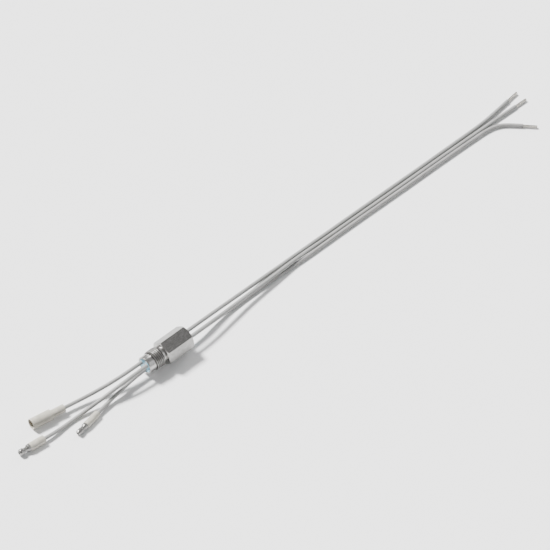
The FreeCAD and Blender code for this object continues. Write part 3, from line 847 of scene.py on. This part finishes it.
# ------------------------------------------------------------------ receptacle and its sleeve
tube = rounded(
    [
        (12.4, 2.3, 0.1),
        (22.6, 2.3, 0.3),
        (23.75, 3.1, 0.12),
        (23.75, 3.42, 0.12),
        (23.35, 3.42, 0.15),
        (22.6, 2.8, 0.3),
        (12.4, 2.8, 0.1),
    ],
    True,
    4,
)


def dimples(x, r, a):
    # four pressed ribs that grip the bullet
    for k in range(4):
        off = (a - math.radians(45 + 90 * k) + math.pi) % (2 * math.pi) - math.pi
        r -= 0.16 * math.exp(-((off * r / 0.55) ** 2)) * math.exp(-(((x - 18.5) / 2.2) ** 4))
    return x, r


me = lathe_mesh(
    "receptacle_tube",
    densify(tube, 0.4),
    True,
    150,
    dimples,
    gap=(math.radians(90) - 0.14, math.radians(90) + 0.14),
)
receptacle = add_object("receptacle_tube", me, TIN, SOCKET)
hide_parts("socket_terminal")
barrel = rounded(
    [
        (5.0, 1.0, 0.1),
        (5.0, 1.7, 0.1),
        (11.3, 1.7, 0.3),
        (12.35, 2.78, 0.3),
        (12.35, 2.2, 0.1),
        (11.6, 1.2, 0.1),
        (11.0, 1.0, 0.1),
    ],
    True,
    4,
)
me = lathe_mesh("receptacle_barrel", barrel, True, 96)
receptacle_barrel = add_object("receptacle_barrel", me, TIN, SOCKET)
web = rounded([(12.0, 0.0, 0), (12.0, 1.7, 0.1), (12.36, 2.29, 0.05), (12.42, 0.0, 0)], False, 3)
me = lathe_mesh("receptacle_web", web, False, 96)
receptacle_web = add_object("receptacle_web", me, TIN, SOCKET)

housing = rounded(
    [
        (0.0, 2.0, 0.1),
        (0.0, 2.85, 0.28),
        (10.34, 2.85, 0.12),
        (10.34, 3.9, 0.4),
        (26.07, 3.9, 0.14),
        (26.07, 3.45, 0.12),
        (11.1, 3.45, 0.2),
        (11.1, 1.72, 0.05),
        (5.0, 1.72, 0.05),
        (5.0, 1.36, 0.05),
        (2.5, 1.36, 0.2),
    ],
    True,
    5,
)


def squeeze(x, r, a):
    if 1.9 < r < 3.0:
        across = max(0.0, math.cos(a - math.radians(75))) ** 6
        r -= 0.10 * across * math.exp(-(((x - 6.6) / 1.4) ** 2))
    return x, r


me = lathe_mesh("receptacle_sleeve", densify(housing, 0.5), True, 180, squeeze)
housing_o = add_object("receptacle_sleeve", me, NYLON, SOCKET)
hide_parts("socket_sleeve")

# ------------------------------------------------------------------ CAD nodes that stay, inside the fitting
for name, mat in (("lead_spacer", SPACER), ("splice_1", TIN), ("splice_2", TIN), ("splice_3", TIN)):
    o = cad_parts[name]
    o.data.materials.clear()
    o.data.materials.append(mat)

# ------------------------------------------------------------------ floor and light
me = bpy.data.meshes.new("floor")
size = 9.0
me.from_pydata([(-size, -size, 0), (size, -size, 0), (size, size, 0), (-size, size, 0)], [], [(0, 1, 2, 3)])
floor = bpy.data.objects.new("floor", me)
floor.location = (0.1, 0, FLOOR - 0.00002)
scene.collection.objects.link(floor)
m, t, b = material("floor_paper")
t.links.new(
    ramp(t, noise_of(t, coordinates(t, (0.02, 0.02, 0.02)), 2.0, 0.5), [(0.2, (0.86, 0.862, 0.865)), (0.8, (0.875, 0.877, 0.88))]),
    b.inputs["Base Color"],
)
b.inputs["Roughness"].default_value = 0.85
b.inputs["Specular IOR Level"].default_value = 0.2
me.materials.append(m)


def sun(name, where, strength, spread, colour=(1, 1, 1)):
    """A distant soft light that shines from the direction of where, spread degrees wide."""
    light = bpy.data.lights.new(name, "SUN")
    light.energy = strength
    light.angle = math.radians(spread)
    light.color = colour
    o = bpy.data.objects.new(name, light)
    o.location = target + Vector(where)
    o.rotation_euler = Vector(where).to_track_quat("Z", "Y").to_euler()
    scene.collection.objects.link(o)
    return o


sun("key", (-0.10, 0.64, 0.80), 12.5, 13.0, (1.0, 0.995, 0.985))
sun("fill", (0.35, -0.95, 0.6), 0.8, 50.0, (0.97, 0.98, 1.0))
sun("rim", (0.95, 0.25, 0.42), 1.4, 24.0)

world = bpy.data.worlds.new("studio")
scene.world = world
world.use_nodes = True
wt = world.node_tree
bg = wt.nodes["Background"]
tc = node(wt, "ShaderNodeTexCoord")
sep = node(wt, "ShaderNodeSeparateXYZ")
wt.links.new(tc.outputs["Generated"], sep.inputs[0])
lift = math_node(wt, "ADD", math_node(wt, "MULTIPLY", sep.outputs[2], 0.5), 0.5)
wt.links.new(
    ramp(wt, lift, [(0.35, 0.12), (0.52, 0.1), (0.7, 0.35), (0.88, 1.0), (1.0, 0.85)]),
    bg.inputs["Color"],
)
bg.inputs["Strength"].default_value = 0.5
